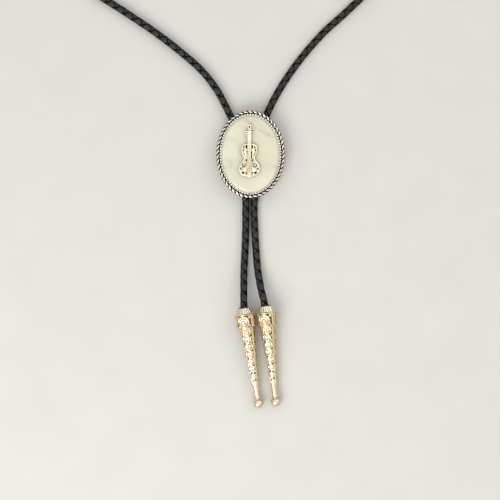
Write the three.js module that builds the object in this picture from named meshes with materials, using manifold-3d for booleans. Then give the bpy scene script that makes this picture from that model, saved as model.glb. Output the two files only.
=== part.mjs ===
// A bolo tie laid face up: one braided leather cord, an oval slide whose rope edge holds a
// mother-of-pearl stone with a small violin on it, and two embossed metal tips.
//
// Millimetres. +Z faces up from the front of the slide, +Y runs to the neck loop and -Y to the
// tips. Origin: the flat underside of the clasp, straight below the middle of the stone.
// Everything lies on the plane z = 0, as the tie does when it is put down on a table.

import * as THREE from "three";
import { mergeVertices } from "three/addons/utils/BufferGeometryUtils.js";
import Module from "manifold-3d";

const wasm = await Module();
wasm.setup();

// ---- Driving dimensions ----

const GAP = 0.3; // clearance between pieces that touch on the real tie
const TURN = 2 * Math.PI;
const FLOOR_LIFT = 0.05; // keeps the corners of the faceted cord and tips above the table

const CORD = { radius: 2.05, sides: 10, step: 12, inClasp: 4.2, meetsAt: -3 };
const CLASP = { plate: 1, wall: 1, rib: 2.8, channel: 6, bottom: -10, top: 4 };
const STONE = { halfWidth: 15, halfHeight: 20, seat: 1.1, crown: 2.4, segments: 40 };
const TRAY = { plate: 1, reach: 1.9, rimHeight: 1.5, rimWidth: 0.95, segments: 48 };
const ROPE = { radius: 1.22, strands: 4, turns: 12.5, steps: 150, outside: 3.5, valley: 0.7 };
const VIOLIN = { centreX: -0.6, floor: 0.4, plate: 1, rim: 1.35, board: 1.6, rimWidth: 0.6 };
const TIP = { ballAt: 51.2, ball: 2.65, shoulderEnd: 10.3, shoulder: 5.2, sides: 28, flutes: 14 };
const BORE = { mouth: 2.75, end: 2.45, depth: 6, sides: 16 };

// Heights above the table, from the clasp's plate up to the violin
const CLASP_HEIGHT = CLASP.plate + GAP + 2 * CORD.radius;
const CORD_HIGH = CLASP.plate + GAP + CORD.radius;
const CORD_LOW = CORD.radius + FLOOR_LIFT;
const TRAY_BOTTOM = CLASP_HEIGHT + GAP;
const STONE_BOTTOM = TRAY_BOTTOM + TRAY.plate + GAP;
const VIOLIN_BOTTOM = STONE_BOTTOM + STONE.crown + GAP;

// Where each tip lies: the middle of its ball, and how far it leans from the Y axis
const TIPS = {
  left: { ballX: 4.2, ballY: -130.9, lean: 8.9 },
  right: { ballX: 13.3, ballY: -130.1, lean: 6.1 },
};

// The neck loop from the clasp, round the neck and back to the clasp: x, y and height
const LOOP_ROUTE = [
  [-CORD.inClasp, CORD.meetsAt + GAP / 2, CORD_HIGH],
  [-5.2, 6, 3.3], [-7.9, 14.5, 2.9], [-11.9, 23.3, 2.4], [-17.4, 33.8, CORD_LOW],
  [-25.4, 44.2, CORD_LOW], [-37.4, 54.9, CORD_LOW], [-50.9, 65.2, CORD_LOW],
  [-66.4, 75.6, CORD_LOW], [-85, 88, CORD_LOW], [-102, 105, CORD_LOW],
  [-115, 127, CORD_LOW], [-121, 153, CORD_LOW], [-121, 181, CORD_LOW],
  [-114, 208, CORD_LOW], [-100, 232, CORD_LOW], [-80, 251, CORD_LOW],
  [-55, 263, CORD_LOW], [-28, 268, CORD_LOW], [0, 266, CORD_LOW],
  [27, 257, CORD_LOW], [51, 242, CORD_LOW], [71, 221, CORD_LOW],
  [84, 195, CORD_LOW], [89, 167, CORD_LOW], [86, 139, CORD_LOW],
  [77, 112, CORD_LOW], [64.5, 90, CORD_LOW], [50.8, 75.7, CORD_LOW],
  [39.2, 65.2, CORD_LOW], [29.7, 54.7, CORD_LOW], [21.7, 44.3, CORD_LOW],
  [14.9, 33.8, CORD_LOW], [9.5, 23.3, 2.4], [6.6, 14.5, 2.9], [4.9, 6, 3.3],
  [CORD.inClasp, CORD.meetsAt + GAP / 2, CORD_HIGH],
];

// The two tails from the clasp down to the tips: x, y and height
const LEFT_ROUTE = [
  [-CORD.inClasp, CORD.meetsAt - GAP / 2, CORD_HIGH], [-4.2, -9.5, CORD_HIGH],
  [-3.4, -16.5, 3], [-2.5, -23.9, 2.5], [-2.5, -30, 2.2], [-2.5, -37, CORD_LOW],
  [-2.9, -50.1, CORD_LOW], [-3.3, -58, 2.4], [-3.5, -65, 3.5], [-3.5, -72, 5],
  [-3.5, -77, 5.75], [-3.15, -84.6, 5.6],
];
const RIGHT_ROUTE = [
  [CORD.inClasp, CORD.meetsAt - GAP / 2, CORD_HIGH], [4.1, -9.5, CORD_HIGH],
  [3, -16.5, 3], [2.1, -23.9, 2.5], [1.9, -30, 2.2], [2.15, -37, CORD_LOW],
  [2.9, -50.1, CORD_LOW], [3.55, -58, 2.4], [4.5, -65, 3.5], [5.75, -71.5, 5],
  [6.9, -76.2, 5.75], [8.25, -83.6, 5.6],
];

// ---- Solids ----

// A closed three.js geometry as a solid that can be joined and cut
function solid(geometry) {
  const bare = geometry.index ? geometry.toNonIndexed() : geometry.clone();
  for (const name of Object.keys(bare.attributes)) {
    if (name !== "position") bare.deleteAttribute(name);
  }
  const merged = mergeVertices(bare, 1e-4);
  return new wasm.Manifold(new wasm.Mesh({
    numProp: 3,
    vertProperties: new Float32Array(merged.attributes.position.array),
    triVerts: new Uint32Array(merged.index.array),
  }));
}

// The joined or cut solid as a geometry again
function geometryOf(body) {
  const mesh = body.getMesh();
  const geometry = new THREE.BufferGeometry();
  geometry.setAttribute("position", new THREE.BufferAttribute(mesh.vertProperties, 3));
  geometry.setIndex(new THREE.BufferAttribute(mesh.triVerts, 1));
  return geometry;
}

// A full turn about the Z axis of a section whose columns are distance from the axis and height
function turned(section, segments) {
  const points = section.map(([radius, height]) => new THREE.Vector2(radius, height));
  return new THREE.LatheGeometry(points, segments).rotateX(Math.PI / 2);
}

// A flat shape pulled up from one height to another
function raised(shape, from, to, curveSegments = 4) {
  const options = { depth: to - from, bevelEnabled: false, curveSegments };
  return new THREE.ExtrudeGeometry(shape, options).translate(0, 0, from);
}

// ---- Cord ----

// A straight-sided tube along a route
function cordTube(route) {
  const curve = new THREE.CatmullRomCurve3(
    route.map((point) => new THREE.Vector3(...point)), false, "centripetal");
  const section = new THREE.Shape();
  for (let side = 0; side < CORD.sides; side += 1) {
    const angle = (side + 0.5) * TURN / CORD.sides;
    const x = CORD.radius * Math.cos(angle);
    const y = CORD.radius * Math.sin(angle);
    if (side === 0) section.moveTo(x, y);
    else section.lineTo(x, y);
  }
  const steps = Math.round(curve.getLength() / CORD.step) + 1;
  return new THREE.ExtrudeGeometry(section, { steps, extrudePath: curve, bevelEnabled: false });
}

// ---- Clasp ----

// One folded plate with a channel for each side of the cord; the slide lies on its three ribs
function clasp() {
  const half = CLASP.rib / 2 + CLASP.channel + CLASP.wall;
  const shape = new THREE.Shape();
  shape.moveTo(-half, 0);
  shape.lineTo(half, 0);
  shape.lineTo(half, CLASP_HEIGHT);
  shape.lineTo(half - CLASP.wall, CLASP_HEIGHT);
  shape.lineTo(half - CLASP.wall, CLASP.plate);
  shape.lineTo(CLASP.rib / 2, CLASP.plate);
  shape.lineTo(CLASP.rib / 2, CLASP_HEIGHT);
  shape.lineTo(-CLASP.rib / 2, CLASP_HEIGHT);
  shape.lineTo(-CLASP.rib / 2, CLASP.plate);
  shape.lineTo(CLASP.wall - half, CLASP.plate);
  shape.lineTo(CLASP.wall - half, CLASP_HEIGHT);
  shape.lineTo(-half, CLASP_HEIGHT);
  return raised(shape, 0, CLASP.top - CLASP.bottom)
    .rotateX(Math.PI / 2)
    .translate(0, CLASP.top, 0);
}

// ---- Slide: the oval setting and its stone ----

// Turns a round geometry oval. A point's distance from the axis is measured on the stone's long
// half: inside the stone's edge it shrinks with the oval, outside it stands off square to it.
function toOval(geometry) {
  const edge = new THREE.EllipseCurve(0, 0, STONE.halfWidth, STONE.halfHeight);
  edge.arcLengthDivisions = 400;
  const place = geometry.attributes.position;
  for (let index = 0; index < place.count; index += 1) {
    const radius = Math.hypot(place.getX(index), place.getY(index));
    const share = (Math.atan2(place.getY(index), place.getX(index)) / TURN + 2) % 1;
    const point = edge.getPointAt(share);
    const tangent = edge.getTangentAt(share);
    const inside = Math.min(radius, STONE.halfHeight) / STONE.halfHeight;
    const outside = Math.max(radius - STONE.halfHeight, 0);
    place.setXY(index, point.x * inside + tangent.y * outside,
      point.y * inside - tangent.x * outside);
  }
  return geometry;
}

// The border wire: strands twisted together, bent round the slide
function ropeEdge() {
  const middle = STONE.halfHeight + ROPE.outside - ROPE.radius;
  const around = 2 * ROPE.strands; // a ridge and a valley for each strand
  const rope = new THREE.TorusGeometry(middle, ROPE.radius, around, ROPE.steps);
  const place = rope.attributes.position;
  const share = rope.attributes.uv;
  for (let index = 0; index < place.count; index += 1) {
    const along = share.getX(index) * TURN;
    const corner = Math.round(share.getY(index) * around);
    const reach = ROPE.radius * (corner % 2 === 0 ? 1 : ROPE.valley);
    const angle = corner * TURN / around - ROPE.turns * along;
    const radius = middle + reach * Math.cos(angle);
    place.setXYZ(index, radius * Math.cos(along), radius * Math.sin(along),
      reach * Math.sin(angle));
  }
  return toOval(rope).translate(0, 0, TRAY_BOTTOM + ROPE.radius);
}

// The tray and its raised inner rim, soldered to the rope edge
function setting() {
  const inner = STONE.halfHeight + GAP;
  const outer = inner + TRAY.rimWidth;
  const floor = TRAY_BOTTOM + TRAY.plate;
  const top = floor + TRAY.rimHeight;
  const tray = toOval(turned([
    [0, TRAY_BOTTOM], [STONE.halfHeight + TRAY.reach, TRAY_BOTTOM],
    [STONE.halfHeight + TRAY.reach, floor], [outer, floor], [outer, top - 0.35],
    [outer - 0.25, top], [inner + 0.25, top], [inner, top - 0.35], [inner, floor],
    [0, floor],
  ], TRAY.segments));
  return geometryOf(solid(tray).add(solid(ropeEdge())));
}

// A low cabochon: straight side, rounded shoulder, nearly flat top
function stone() {
  const edge = STONE.halfHeight;
  const top = STONE_BOTTOM + STONE.crown;
  return toOval(turned([
    [0, STONE_BOTTOM], [edge - 0.3, STONE_BOTTOM], [edge, STONE_BOTTOM + 0.3],
    [edge, STONE_BOTTOM + STONE.seat], [edge - 0.5, top - 0.6], [edge - 1.5, top - 0.25],
    [edge * 0.6, top - 0.08], [0, top],
  ], STONE.segments));
}

// ---- Violin ----

// Half of the violin's outline, from the bottom of the body to the neck
const VIOLIN_HALF = [
  [0, -11.9], [2.4, -11.7], [4.4, -10.6], [5.5, -8.4], [5.2, -6.2], [4, -4.4], [3.1, -3.2],
  [3, -1.7], [3.7, -0.4], [4.2, 1.2], [4.1, 3], [3.2, 4.6], [1, 5.2],
];

// The cut openings of one side. Columns: out from the centre line, y, half length, half width
// and how far the opening turns from the Y axis, in degrees.
const VIOLIN_OPENINGS = [
  [1.55, 3.7, 1, 0.32, 0], [2.95, 3.4, 0.7, 0.3, 45], [3.1, 1.7, 0.4, 0.3, 0],
  [2.75, 0, 0.7, 0.26, -30], [2.65, -4.4, 0.55, 0.28, 0], [4.3, -7.5, 0.5, 0.28, 35],
  [3.4, -9.5, 0.75, 0.48, -40], [1.75, -9.7, 0.4, 0.3, 0], [1.7, -11, 0.4, 0.24, 60],
];
const CURL = { out: 3.15, y: -6.2, radius: 0.85, halfWidth: 0.24, gapAt: 20, halfGap: 40 };

// The closed outline, drawn in by a distance
function violinOutline(inset) {
  const half = new THREE.SplineCurve(VIOLIN_HALF.map(([x, y]) => new THREE.Vector2(x, y)));
  const points = [];
  const steps = 24;
  for (let step = 0; step <= steps; step += 1) {
    const point = half.getPointAt(step / steps);
    const tangent = half.getTangentAt(step / steps);
    const atEnd = step === 0 ? 0 : 1;
    points.push([point.x - atEnd * tangent.y * inset, point.y + tangent.x * inset]);
  }
  const mirrored = points.slice(1).reverse().map(([x, y]) => [-x, y]);
  return points.concat(mirrored).map(([x, y]) => new THREE.Vector2(x, y));
}

// The openings of both sides, with a curl on each side in place of an f-hole
function violinHoles() {
  const holes = [];
  for (const side of [-1, 1]) {
    for (const [out, y, long, wide, tilt] of VIOLIN_OPENINGS) {
      const angle = side * THREE.MathUtils.degToRad(tilt);
      holes.push(new THREE.Path().absellipse(side * out, y, wide, long, 0, TURN, false, angle));
    }
    const gapAt = 90 + side * CURL.gapAt;
    const from = THREE.MathUtils.degToRad(gapAt + CURL.halfGap);
    const to = THREE.MathUtils.degToRad(gapAt - CURL.halfGap + 360);
    const curl = new THREE.Path();
    curl.absarc(side * CURL.out, CURL.y, CURL.radius + CURL.halfWidth, from, to, false);
    curl.absarc(side * CURL.out, CURL.y, CURL.radius - CURL.halfWidth, to, from, true);
    curl.closePath();
    holes.push(curl);
  }
  return holes;
}

// A small ring lying flat, as a peg or the scroll
function violinRing(x, y, radius, tube) {
  return solid(new THREE.TorusGeometry(radius, tube, 6, 12).translate(x, y, 0.55));
}

function violin() {
  const floor = new THREE.Shape(violinOutline(0));
  const plate = new THREE.Shape(violinOutline(0.1));
  plate.holes = violinHoles();
  const rim = new THREE.Shape(violinOutline(0));
  rim.holes = [new THREE.Path(violinOutline(VIOLIN.rimWidth))];
  const board = new THREE.BoxGeometry(2, 19.2, VIOLIN.board)
    .translate(0, 2.3, VIOLIN.board / 2);
  const head = new THREE.BoxGeometry(1.3, 2.2, 0.9).translate(0, 12.6, 0.45);
  const tailpiece = new THREE.CylinderGeometry(1.25, 0.75, 4.6, 4, 1)
    .rotateY(Math.PI / 4)
    .scale(1, 1, 0.6)
    .translate(0, -9.6, 0.95);
  const button = new THREE.SphereGeometry(0.5, 8, 6).translate(0, -12.1, 0.6);
  let body = solid(raised(floor, 0, VIOLIN.floor));
  for (const piece of [raised(plate, 0.2, VIOLIN.plate), raised(rim, 0.3, VIOLIN.rim), board,
    head, tailpiece, button]) {
    body = body.add(solid(piece));
  }
  body = body.add(violinRing(0, 14.05, 0.68, 0.34));
  body = body.add(violinRing(-1.5, 11, 0.62, 0.32));
  body = body.add(violinRing(1.65, 12, 0.62, 0.32));
  return geometryOf(body).translate(VIOLIN.centreX, 0, VIOLIN_BOTTOM);
}

// ---- Tips ----

// A tip's profile. Columns: distance down from the mouth of its collar, and radius.
const TIP_ROWS = [
  [0, 3.1], [0.5, 3.35], [3.1, 4.35], [3.5, 5], [4.1, 5.2], [7, 5.1], [9.7, 5.2],
  [TIP.shoulderEnd, 4.95], [10.5, 4.05], [12.4, 3.9], [14.4, 3.72], [16.4, 3.55],
  [18.4, 3.4], [20.4, 3.25], [22.4, 3.08], [24.4, 2.92], [26.4, 2.75], [28.4, 2.6],
  [30.4, 2.45], [32.4, 2.3], [34.4, 2.15], [36.4, 2], [38.4, 1.87], [40.4, 1.75], [42, 1.65],
  [47.8, 1.52], [48, 1.75], [48.35, 1.75], [48.4, 1.1], [48.8, 1.1], [49.8, 2.25],
  [51.2, 2.65], [52.6, 2.25], [53.5, 1.3],
];
const LEAF = { first: 12, last: 41, length: 4, height: 0.17, rows: 8 };
const FLUTE = { first: 0.4, last: 3.2, height: 0.17 };
const SCROLL = { at: 6.9, radius: 2.1, tube: 0.55, out: 4.75 };

// How far the cast relief stands out of the profile
function relief(down, angle) {
  if (down > FLUTE.first && down < FLUTE.last) {
    return FLUTE.height * Math.cos(TIP.flutes * angle);
  }
  if (down > LEAF.first && down < LEAF.last) {
    const wave = Math.cos(down * TURN / LEAF.length + Math.PI * 0.8);
    return LEAF.height * wave * Math.cos(LEAF.rows * angle);
  }
  return 0;
}

// One tip along the Y axis, its ball's middle at the origin and its collar at the top
function tip() {
  const rows = [[TIP.ballAt + TIP.ball, 0], ...TIP_ROWS.slice().reverse(), [0, 0]];
  const profile = rows.map(([down, radius]) => new THREE.Vector2(radius, TIP.ballAt - down));
  const body = new THREE.LatheGeometry(profile, TIP.sides);
  const place = body.attributes.position;
  for (let index = 0; index < place.count; index += 1) {
    const [x, y, z] = [place.getX(index), place.getY(index), place.getZ(index)];
    const radius = Math.hypot(x, z);
    if (radius > 0) {
      const grown = 1 + relief(TIP.ballAt - y, Math.atan2(z, x)) / radius;
      place.setXYZ(index, x * grown, y, z * grown);
    }
  }
  const bore = new THREE.CylinderGeometry(BORE.mouth, BORE.end, BORE.depth, BORE.sides)
    .translate(0, TIP.ballAt - BORE.depth / 2 + 0.01, 0);
  const scroll = new THREE.TorusGeometry(SCROLL.radius, SCROLL.tube, 6, 14)
    .translate(0, TIP.ballAt - SCROLL.at, SCROLL.out);
  return geometryOf(solid(body).subtract(solid(bore)).add(solid(scroll)));
}

// The tilt that lets a tip lie on its shoulder and its ball
const TIP_PITCH = Math.asin((TIP.shoulder - TIP.ball) / (TIP.ballAt - TIP.shoulderEnd));

function layTip(mesh, { ballX, ballY, lean }) {
  mesh.rotation.set(TIP_PITCH, 0, THREE.MathUtils.degToRad(lean), "ZXY");
  mesh.position.set(ballX, ballY, TIP.ball + FLOOR_LIFT);
}

// ---- The tie ----

const LOOKS = {
  leather: { color: "#232324", roughness: 0.5, metalness: 0 },
  antique: { color: "#b9b6ae", roughness: 0.35, metalness: 1 },
  pearl: { color: "#dfe0cc", roughness: 0.25, metalness: 0 },
  bright: { color: "#d8d2bd", roughness: 0.3, metalness: 1 },
  champagne: { color: "#d3c6a4", roughness: 0.32, metalness: 1 },
  steel: { color: "#8d8d8b", roughness: 0.45, metalness: 1 },
};

const group = new THREE.Group();

function addPiece(name, geometry, look) {
  const mesh = new THREE.Mesh(geometry, new THREE.MeshStandardMaterial(LOOKS[look]));
  mesh.name = name;
  group.add(mesh);
  return mesh;
}

addPiece("cord_clasp", clasp(), "steel");
addPiece("bezel_setting", setting(), "antique");
addPiece("pearl_stone", stone(), "pearl");
addPiece("violin_motif", violin(), "bright");
addPiece("neck_loop", cordTube(LOOP_ROUTE), "leather");
addPiece("tail_left", cordTube(LEFT_ROUTE), "leather");
addPiece("tail_right", cordTube(RIGHT_ROUTE), "leather");
for (const [side, lying] of Object.entries(TIPS)) {
  layTip(addPiece(`tip_${side}`, tip(), "champagne"), lying);
}

export default group;
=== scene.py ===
"""A bolo tie laid on a table: braided leather cord, pearl slide with a violin, embossed tips.

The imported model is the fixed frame. The clasp stays as packed; every other piece is modelled
here in its place. Lengths are metres, except where a comment says mm.
"""

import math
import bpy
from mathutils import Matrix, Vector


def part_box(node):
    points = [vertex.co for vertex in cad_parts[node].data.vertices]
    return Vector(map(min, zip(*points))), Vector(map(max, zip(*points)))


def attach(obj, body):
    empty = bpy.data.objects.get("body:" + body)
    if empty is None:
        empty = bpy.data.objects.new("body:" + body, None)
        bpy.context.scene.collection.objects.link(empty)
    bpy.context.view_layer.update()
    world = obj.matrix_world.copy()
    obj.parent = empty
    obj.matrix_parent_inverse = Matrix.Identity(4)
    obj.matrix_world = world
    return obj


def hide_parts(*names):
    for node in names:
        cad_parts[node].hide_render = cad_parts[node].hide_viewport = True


bl_info = {
    "name": "Bolo tie",
    "version": (1, 0, 0),
    "blender": (4, 5, 0),
    "location": "3D View > Sidebar > Bolo tie",
    "description": "Braided leather cord, pearl slide with a violin, and embossed tips",
    "category": "Add Mesh",
}

import bpy
import numpy as np
from bpy.props import FloatProperty, FloatVectorProperty, IntProperty, PointerProperty
from bpy.types import Operator, Panel, PropertyGroup
from mathutils import Vector

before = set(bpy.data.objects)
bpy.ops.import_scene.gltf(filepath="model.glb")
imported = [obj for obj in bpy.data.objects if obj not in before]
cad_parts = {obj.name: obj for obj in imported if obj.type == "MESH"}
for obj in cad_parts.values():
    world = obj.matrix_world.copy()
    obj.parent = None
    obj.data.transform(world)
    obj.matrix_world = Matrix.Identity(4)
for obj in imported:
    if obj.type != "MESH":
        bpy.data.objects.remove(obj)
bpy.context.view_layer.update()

MM = 0.001
TURN = 2 * math.pi

# ---- Places taken from the frame ----

SETTING_LOW, SETTING_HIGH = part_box("bezel_setting")
STONE_LOW, STONE_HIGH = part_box("pearl_stone")
VIOLIN_LOW, VIOLIN_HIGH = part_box("violin_motif")
STONE_X = (STONE_HIGH.x - STONE_LOW.x) / 2
STONE_Y = (STONE_HIGH.y - STONE_LOW.y) / 2
BORDER = SETTING_HIGH.y - STONE_Y  # from the stone's edge to the outside of the rope
GAP = 0.3 * MM  # clearance between neighbouring pieces

# The cord's route, across, up and height in mm: the neck loop from the clasp round to the clasp,
# then each tail from the clasp into its tip
CORD_LOW = 2.1  # height of the cord's middle where it lies on the table
CORD_HIGH = 3.35  # and where it runs through the clasp
LOOP_ROUTE = [
    (-4.2, -2.85, CORD_HIGH), (-5.2, 6, 3.3), (-7.9, 14.5, 2.9), (-11.9, 23.3, 2.4),
    (-17.4, 33.8, CORD_LOW), (-25.4, 44.2, CORD_LOW), (-37.4, 54.9, CORD_LOW),
    (-50.9, 65.2, CORD_LOW), (-66.4, 75.6, CORD_LOW), (-85, 88, CORD_LOW), (-102, 105, CORD_LOW),
    (-115, 127, CORD_LOW), (-121, 153, CORD_LOW), (-121, 181, CORD_LOW), (-114, 208, CORD_LOW),
    (-100, 232, CORD_LOW), (-80, 251, CORD_LOW), (-55, 263, CORD_LOW), (-28, 268, CORD_LOW),
    (0, 266, CORD_LOW), (27, 257, CORD_LOW), (51, 242, CORD_LOW), (71, 221, CORD_LOW),
    (84, 195, CORD_LOW), (89, 167, CORD_LOW), (86, 139, CORD_LOW), (77, 112, CORD_LOW),
    (64.5, 90, CORD_LOW), (50.8, 75.7, CORD_LOW), (39.2, 65.2, CORD_LOW), (29.7, 54.7, CORD_LOW),
    (21.7, 44.3, CORD_LOW), (14.9, 33.8, CORD_LOW), (9.5, 23.3, 2.4), (6.6, 14.5, 2.9),
    (4.9, 6, 3.3), (4.2, -2.85, CORD_HIGH),
]
LEFT_ROUTE = [
    (-4.2, -3.15, CORD_HIGH), (-4.2, -9.5, CORD_HIGH), (-3.4, -16.5, 3), (-2.5, -23.9, 2.5),
    (-2.5, -30, 2.2), (-2.5, -37, CORD_LOW), (-2.9, -50.1, CORD_LOW), (-3.3, -58, 2.4),
    (-3.5, -65, 3.5), (-3.5, -72, 5), (-3.5, -77, 5.75), (-3.15, -84.6, 5.6),
]
RIGHT_ROUTE = [
    (4.2, -3.15, CORD_HIGH), (4.1, -9.5, CORD_HIGH), (3, -16.5, 3), (2.1, -23.9, 2.5),
    (1.9, -30, 2.2), (2.15, -37, CORD_LOW), (2.9, -50.1, CORD_LOW), (3.55, -58, 2.4),
    (4.5, -65, 3.5), (5.75, -71.5, 5), (6.9, -76.2, 5.75), (8.25, -83.6, 5.6),
]


# ---- Settings that a user would change ----

def sized(name, description, default):
    """A length property in metres."""
    return FloatProperty(name=name, description=description, default=default, min=0.0,
                         subtype="DISTANCE", unit="LENGTH")


def plain_colour(name, description, code):
    """A colour property whose default is an sRGB hex value."""
    return FloatVectorProperty(name=name, description=description, default=linear(code),
                               size=4, min=0.0, max=1.0, subtype="COLOR")


def linear(code):
    """An sRGB hex value as linear red, green, blue and 1 for alpha."""
    values = [int(code[at:at + 2], 16) / 255 for at in (1, 3, 5)]
    turned = [v / 12.92 if v <= 0.04045 else ((v + 0.055) / 1.055) ** 2.4 for v in values]
    return (*turned, 1.0)


class CordSettings(PropertyGroup):
    diameter: sized("Diameter", "Thickness of the braided cord", 4 * MM)
    lay: sized("Lay", "Length of cord in which a lace goes once round", 11.2 * MM)
    lace_width: sized("Lace width", "Width of each leather lace", 3.9 * MM)
    lace_thickness: sized("Lace thickness", "Thickness of each leather lace", 0.9 * MM)
    colour: plain_colour("Leather", "Colour of the dyed leather", "#1b1b18")


class SlideSettings(PropertyGroup):
    rope_strands: IntProperty(name="Rope strands", default=50, min=4, step=2,
                              description="Strands seen round the edge; an even number")
    beads: IntProperty(name="Beads", default=80, min=3,
                       description="Beads in the rim between the rope and the stone")
    silver: plain_colour("Silver", "Colour of the silver plate", "#f4ece1")
    pearl: plain_colour("Pearl", "Ground colour of the mother-of-pearl", "#cecfb7")
    violin: plain_colour("Violin", "Colour of the violin's plate", "#fbf6dd")


class TipSettings(PropertyGroup):
    leaf_length: sized("Leaf length", "Length of tip that one scroll and leaf takes", 4 * MM)
    relief: sized("Relief", "How far the scrollwork stands out", 0.3 * MM)
    flutes: IntProperty(name="Flutes", default=18, min=3, description="Flutes in the collar")
    metal: plain_colour("Metal", "Colour of the silver plate under its warm tint", "#efebe0")


class StageSettings(PropertyGroup):
    view_width: sized("View width", "Width of table that the camera sees", 0.2622)
    view_height: sized("Camera height", "Height of the camera over the tie", 0.6)
    floor: plain_colour("Table", "Colour of the table top", "#cbc9c3")


# ---- Small tools ----

def use(obj):
    """Selects one object alone and makes it the active one."""
    bpy.ops.object.select_all(action="DESELECT")
    obj.select_set(True)
    bpy.context.view_layer.objects.active = obj
    return obj


def add(primitive, **settings):
    """Adds a primitive while nothing else is selected, and gives its object."""
    bpy.ops.object.select_all(action="DESELECT")
    primitive(**settings)
    return bpy.context.active_object


def settle(obj):
    """Puts an object's place, turn and scale into its mesh."""
    use(obj)
    bpy.ops.object.transform_apply(location=True, rotation=True, scale=True)
    return obj


def join(parts, name):
    """Joins modelled parts into one named piece."""
    bpy.ops.object.select_all(action="DESELECT")
    for part in parts:
        part.select_set(True)
    bpy.context.view_layer.objects.active = parts[0]
    bpy.ops.object.join()
    joined = bpy.context.view_layer.objects.active
    joined.name = joined.data.name = name
    return joined


def modify(obj, kind, **settings):
    """Adds a modifier with its settings and applies it."""
    use(obj)
    modifier = obj.modifiers.new(kind.title(), kind)
    for key, value in settings.items():
        setattr(modifier, key, value)
    bpy.ops.object.modifier_apply(modifier=modifier.name)
    return obj


def smooth(obj, degrees=40):
    """Smooth shading with sharp edges kept."""
    use(obj)
    bpy.ops.object.shade_smooth_by_angle(angle=math.radians(degrees))
    return obj


def edit(obj):
    """Opens an object in edit mode with all of it selected."""
    use(obj)
    bpy.ops.object.mode_set(mode="EDIT")
    bpy.ops.mesh.select_all(action="SELECT")


def close_edit(merge=0.0):
    """Merges points closer than a distance, turns the faces outwards and leaves edit mode."""
    bpy.ops.mesh.select_all(action="SELECT")
    if merge:
        bpy.ops.mesh.remove_doubles(threshold=merge)
    bpy.ops.mesh.normals_make_consistent(inside=False)
    bpy.ops.object.mode_set(mode="OBJECT")


def new_object(name, data):
    """An object that holds a mesh, a curve, a lamp or a camera, linked to the scene."""
    made = bpy.data.objects.new(name, data)
    bpy.context.scene.collection.objects.link(made)
    return made


def mesh_piece(name, points, edges=(), faces=()):
    """An object from an array of points and the edges or faces between them."""
    mesh = bpy.data.meshes.new(name)
    mesh.from_pydata(points.tolist(), edges, faces)
    mesh.validate()
    return new_object(name, mesh)


def spots_of(obj):
    """The places of an object's vertices."""
    spots = np.empty(len(obj.data.vertices) * 3)
    obj.data.vertices.foreach_get("co", spots)
    return spots.reshape(-1, 3)


def shade_value(obj, name, values):
    """A number for each vertex, for a material to read."""
    attribute = obj.data.attributes.new(name, "FLOAT", "POINT")
    attribute.data.foreach_set("value", np.asarray(values, np.float32))


def painted_shade_by_level(level):
    """How bright a place is painted from its level, -1 in the hollows to 1 on the crowns: painted
    shade low down; on the silver beads it also stands for the oxide there.
    """
    return np.clip(level * 0.6 + 0.55, 0, 1)


def place(obj, material, cad_node):
    """Gives a finished piece its material, hangs it on the root, and hides the CAD node it stands
    for.
    """
    obj.data.materials.clear()
    obj.data.materials.append(material)
    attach(obj, "root")
    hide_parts(cad_node)


# ---- Materials ----

# A Mix node that multiplies the colours on its sockets 6 and 7
MULTIPLY = {"values": {0: 1.0}, "out": 2, "data_type": "RGBA", "blend_type": "MULTIPLY"}


def connect(target, values=None, links=None):
    """Sets a node's own input values, and links the sockets that feed it."""
    for key, value in (values or {}).items():
        target.inputs[key].default_value = value
    for key, socket in (links or {}).items():
        target.id_data.links.new(socket, target.inputs[key])


def node(tree, kind, values=None, links=None, out=0, stops=(), **settings):
    """Adds a node with its settings, a ramp's stops of place and linear colour, its input
    values and the sockets that feed it, and gives one of its outputs."""
    added = tree.nodes.new(kind)
    for key, value in settings.items():
        setattr(added, key, value)
    if stops:
        elements = added.color_ramp.elements
        while len(elements) < len(stops):
            elements.new(0.5)
        for element, (at, colour) in zip(elements, stops):
            element.position = at
            element.color = colour
    connect(added, values, links)
    return added.outputs[out]


def grey(value):
    """A linear grey."""
    return (value, value, value, 1.0)


def new_material(name):
    """A material with its node tree, its shader, and Object coordinates in metres."""
    material = bpy.data.materials.new(name)
    material.use_nodes = True
    tree = material.node_tree
    where = node(tree, "ShaderNodeTexCoord", out="Object")
    return material, tree, tree.nodes["Principled BSDF"], where


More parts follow.
